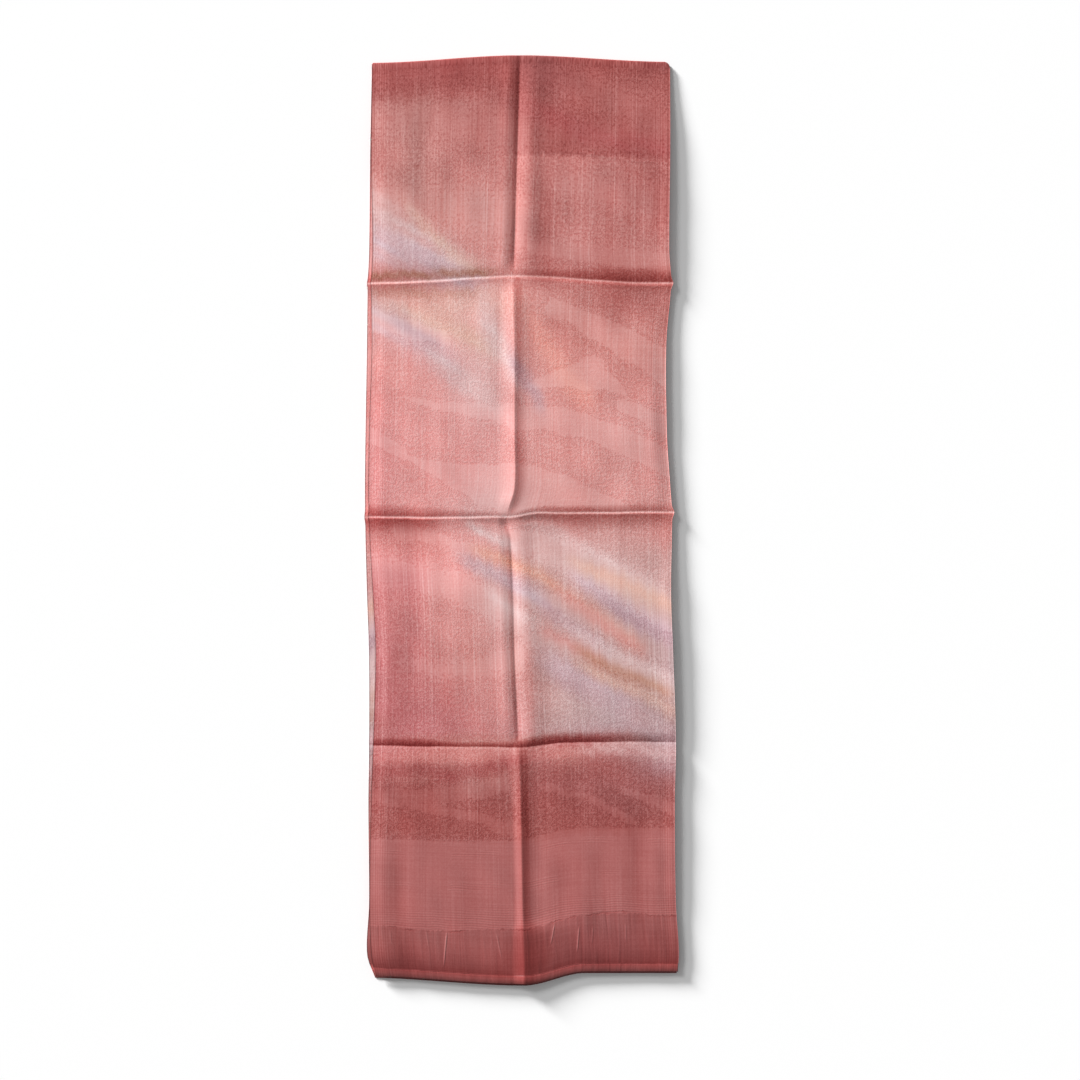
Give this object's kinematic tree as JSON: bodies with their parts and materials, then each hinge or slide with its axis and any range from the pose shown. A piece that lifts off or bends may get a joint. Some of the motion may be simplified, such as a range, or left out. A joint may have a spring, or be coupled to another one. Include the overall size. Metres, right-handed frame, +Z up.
{
  "type": "folded silk obiage sash scarf",
  "caption": "Long figured silk sash scarf, folded once across its length and laid flat with storage creases and rolled hems.",
  "frame": {"origin": "centre of the bounding box's underside, on the surface that the cloth lies on", "axes": "+Y along the folded cloth towards its fold, +Z up from the surface, +X across the cloth"},
  "size_m": [0.3027, 0.9058, 0.0096],
  "materials": {
    "silk": "figured silk crepe, satin sheen, salmon pink with soft diagonal bands of lavender, cream and gold",
    "hem": "the same silk turned up on itself, deeper rose, matt"
  },
  "bodies": {
    "root": {"front_leaf": "silk", "top_fold": "silk", "back_leaf": "silk", "front_hem": "hem", "back_hem": "hem"}
  },
  "joints": []
}
